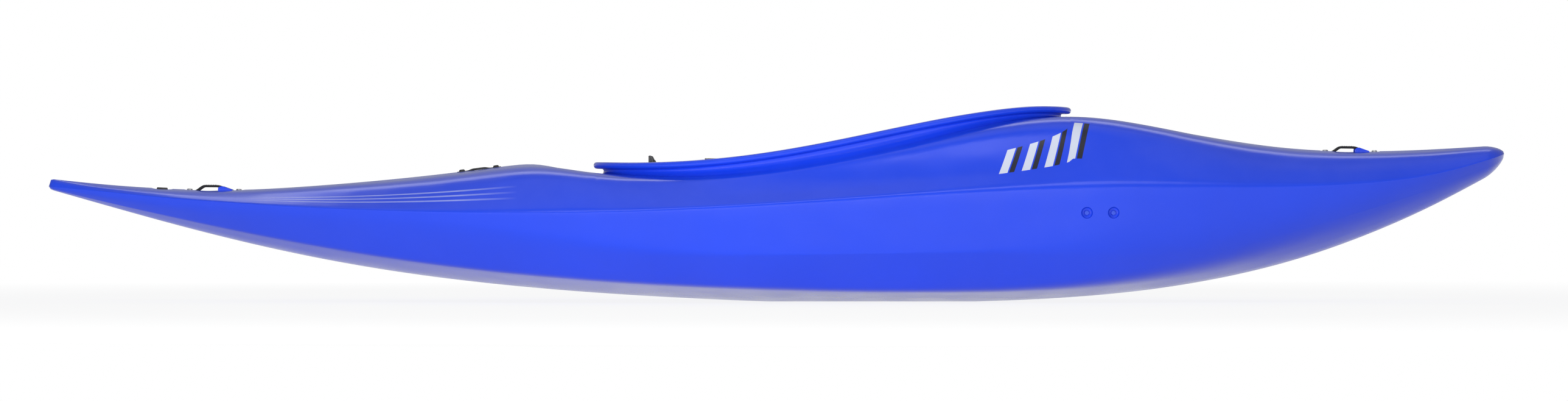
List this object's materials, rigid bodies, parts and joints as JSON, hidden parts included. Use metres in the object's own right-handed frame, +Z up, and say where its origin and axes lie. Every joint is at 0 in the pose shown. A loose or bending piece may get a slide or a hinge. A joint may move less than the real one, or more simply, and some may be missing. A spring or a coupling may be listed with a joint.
{
  "type": "whitewater kayak",
  "caption": "Decked one-person whitewater kayak: moulded hull with a cockpit coaming, sliding seat, tilting backband, ratchet levers, thigh braces, footrest and drain plug.",
  "frame": {"origin": "middle of the hull's length, on the centreline, at the height of the flat of the keel", "axes": "+X towards the bow along the length, +Y towards the left side, +Z up"},
  "size_m": [2.93, 0.6282, 0.3898],
  "materials": {
    "hull": "glossy blue rotomoulded polyethylene",
    "moulded": "black injection-moulded nylon with a fine texture",
    "foam": "dark grey closed-cell foam",
    "fabric": "black woven nylon over foam",
    "rubber": "black matt rubber",
    "steel": "stainless steel",
    "blue_screw": "blue coated steel",
    "aluminium": "brushed anodised aluminium"
  },
  "bodies": {
    "hull": {"hull_stern": "hull", "hull_middle": "hull", "hull_bow": "hull", "coaming": "hull", "foot_rail_left": "aluminium", "foot_rail_right": "aluminium", "foot_bolt_left_1": "blue_screw", "foot_bolt_left_2": "blue_screw", "foot_bolt_right_1": "blue_screw", "foot_bolt_right_2": "blue_screw", "seat_rail_left": "foam", "seat_rail_right": "foam", "seat_bolt_left_1": "steel", "seat_bolt_left_2": "steel", "seat_bolt_right_1": "steel", "seat_bolt_right_2": "steel", "thigh_bolt_left_1": "steel", "thigh_bolt_left_2": "steel", "thigh_bolt_right_1": "steel", "thigh_bolt_right_2": "steel", "stern_handle": "rubber", "stern_handle_bolt_1": "steel", "stern_handle_bolt_2": "steel", "bow_handle": "rubber", "bow_handle_bolt_1": "steel", "bow_handle_bolt_2": "steel", "security_bar": "moulded", "security_bar_bolt_1": "moulded", "security_bar_bolt_2": "moulded", "drain_bushing": "moulded", "drain_seal": "rubber", "rear_pillar": "foam", "front_pillar": "foam"},
    "seat": {"seat_shell": "moulded", "seat_pad": "fabric", "hip_pad_left": "fabric", "hip_pad_right": "fabric", "backband_pivot_left": "steel", "backband_pivot_right": "steel", "ratchet_body_left": "moulded", "ratchet_body_right": "moulded", "ratchet_pin_left": "steel", "ratchet_pin_right": "steel"},
    "backband": {"backband_core": "moulded", "backband_pad": "fabric", "backband_strap_left": "moulded", "backband_strap_right": "moulded"},
    "ratchet_lever_left": {"ratchet_lever_left": "moulded"},
    "ratchet_lever_right": {"ratchet_lever_right": "moulded"},
    "thigh_brace_left": {"thigh_brace_left": "moulded", "thigh_pad_left": "foam"},
    "thigh_brace_right": {"thigh_brace_right": "moulded", "thigh_pad_right": "foam"},
    "footrest": {"footrest_plate": "aluminium", "footrest_foam": "foam", "footrest_bolt_left": "steel", "footrest_bolt_right": "steel"},
    "drain_plug": {"drain_plug": "moulded"}
  },
  "joints": [
    {"name": "seat_slide", "type": "slide", "parent": "hull", "child": "seat", "axis": [1, 0, 0], "range_m": [-0.02, 0.025]},
    {"name": "backband_tilt", "type": "hinge", "parent": "seat", "child": "backband", "pos_m": [-0.17549, 0, 0.11622], "axis": [0, 1, 0], "range_deg": [-12, 26], "deforming": ["backband_strap_left", "backband_strap_right"]},
    {"name": "ratchet_lever_left_hinge", "type": "hinge", "parent": "seat", "child": "ratchet_lever_left", "pos_m": [-0.09349, 0.1652, 0.27222], "axis": [0, 0, 1], "range_deg": [0, 55], "stiffness_Nm_per_rad": 0.03},
    {"name": "ratchet_lever_right_hinge", "type": "hinge", "parent": "seat", "child": "ratchet_lever_right", "pos_m": [-0.09349, -0.1652, 0.27222], "axis": [0, 0, -1], "range_deg": [0, 55], "stiffness_Nm_per_rad": 0.03},
    {"name": "thigh_brace_left_slide", "type": "slide", "parent": "hull", "child": "thigh_brace_left", "axis": [0.9827, 0, 0.1853], "range_m": [-0.02, 0.02]},
    {"name": "thigh_brace_right_slide", "type": "slide", "parent": "hull", "child": "thigh_brace_right", "axis": [0.9827, 0, 0.1853], "range_m": [-0.02, 0.02]},
    {"name": "footrest_slide", "type": "slide", "parent": "hull", "child": "footrest", "axis": [1, 0, 0], "range_m": [-0.05, 0.05]},
    {"name": "drain_plug_turn", "type": "hinge", "parent": "hull", "child": "drain_plug", "pos_m": [-1.23646, 0, 0.22639], "axis": [0.0492, 0, 0.9988], "continuous": true}
  ]
}
